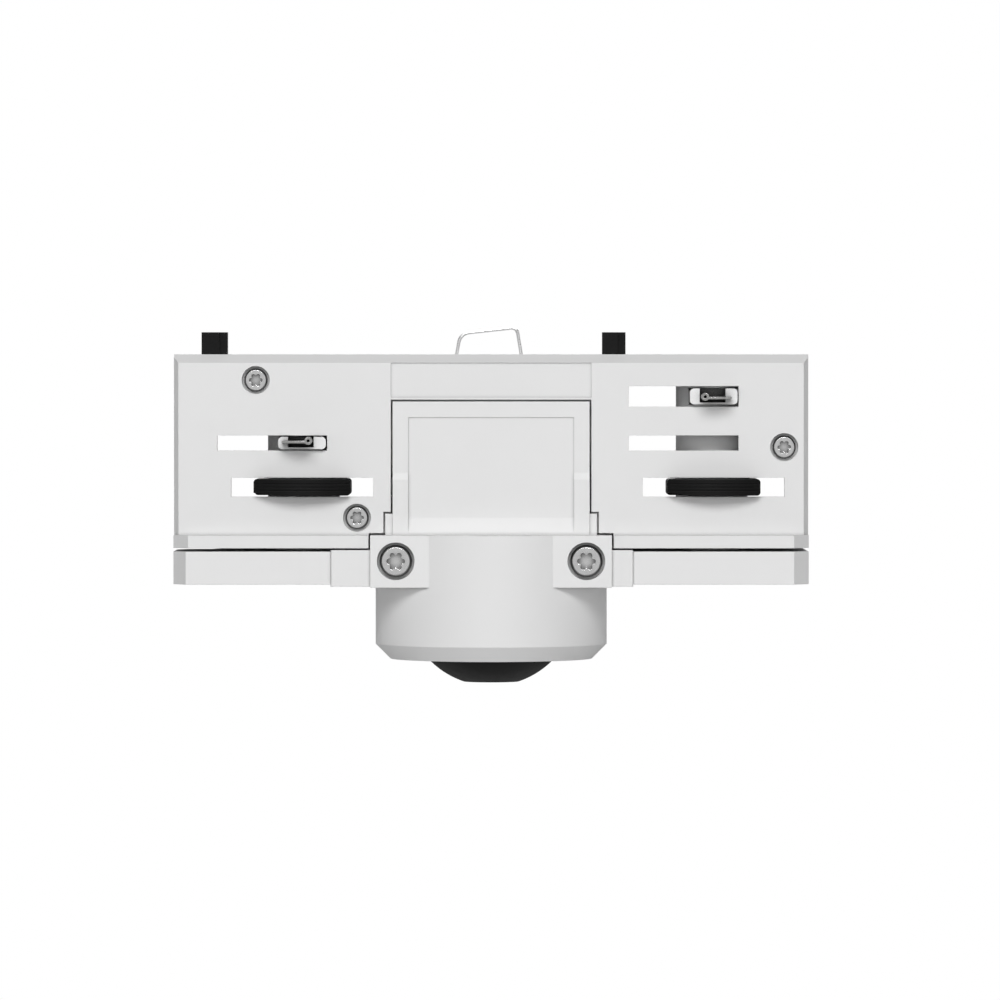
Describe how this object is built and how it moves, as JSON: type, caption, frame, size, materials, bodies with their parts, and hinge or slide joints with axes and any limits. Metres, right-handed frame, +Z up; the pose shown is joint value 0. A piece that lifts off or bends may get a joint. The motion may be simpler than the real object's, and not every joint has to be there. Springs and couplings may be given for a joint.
{
  "type": "track light adapter",
  "caption": "Track light adapter for a pendant lamp: a slim slotted housing with turning levers that swing out locking cams and contacts, over a round cord cup with a domed gland.",
  "frame": {"origin": "on the axis of the cord cup, at the height of the flange's top face, which bears on the lips of the track", "axes": "+X along the track to the right of the front face, +Y from the front face to the back, +Z up into the track"},
  "size_m": [0.107, 0.0392, 0.0603],
  "materials": {
    "shell": "fine satin moulding",
    "cover": "fine satin moulding",
    "lever": "fine satin moulding",
    "barrel": "satin moulding",
    "black_plastic": "satin, glass-filled",
    "gland": "satin",
    "carrier": "smooth",
    "terminal": "satin",
    "contact": "bright plated",
    "screw": "zinc plated",
    "wire": "bright drawn wire",
    "brass": "plain"
  },
  "bodies": {
    "housing": {"housing_front": "shell", "housing_rear": "shell", "cover_front": "cover", "cover_rear": "cover", "key_left": "black_plastic", "key_right": "black_plastic", "earth_spring": "wire", "earth_plate": "brass", "shell_screws": "screw", "cover_screws": "screw", "terminal_block": "terminal", "terminal_clamps": "brass", "terminal_screws": "screw", "gland_cap": "black_plastic", "gland_sleeve": "gland", "gland_nut": "gland"},
    "lock_left": {"lever_left": "lever", "cam_left": "black_plastic", "rotor_left": "barrel", "carrier_left": "carrier", "contact_left": "contact", "pivot_screw_left": "screw"},
    "lock_right": {"lever_right": "lever", "cam_right": "black_plastic", "rotor_right": "barrel", "carrier_right": "carrier", "contact_right": "contact", "pivot_screw_right": "screw"}
  },
  "joints": [
    {"name": "left_lever_turn", "type": "hinge", "parent": "housing", "child": "lock_left", "pos_m": [-0.03185, 0, 0], "axis": [0, 0, 1], "range_deg": [-90, 0]},
    {"name": "right_lever_turn", "type": "hinge", "parent": "housing", "child": "lock_right", "pos_m": [0.0375, 0, 0], "axis": [0, 0, 1], "range_deg": [-90, 0]}
  ]
}
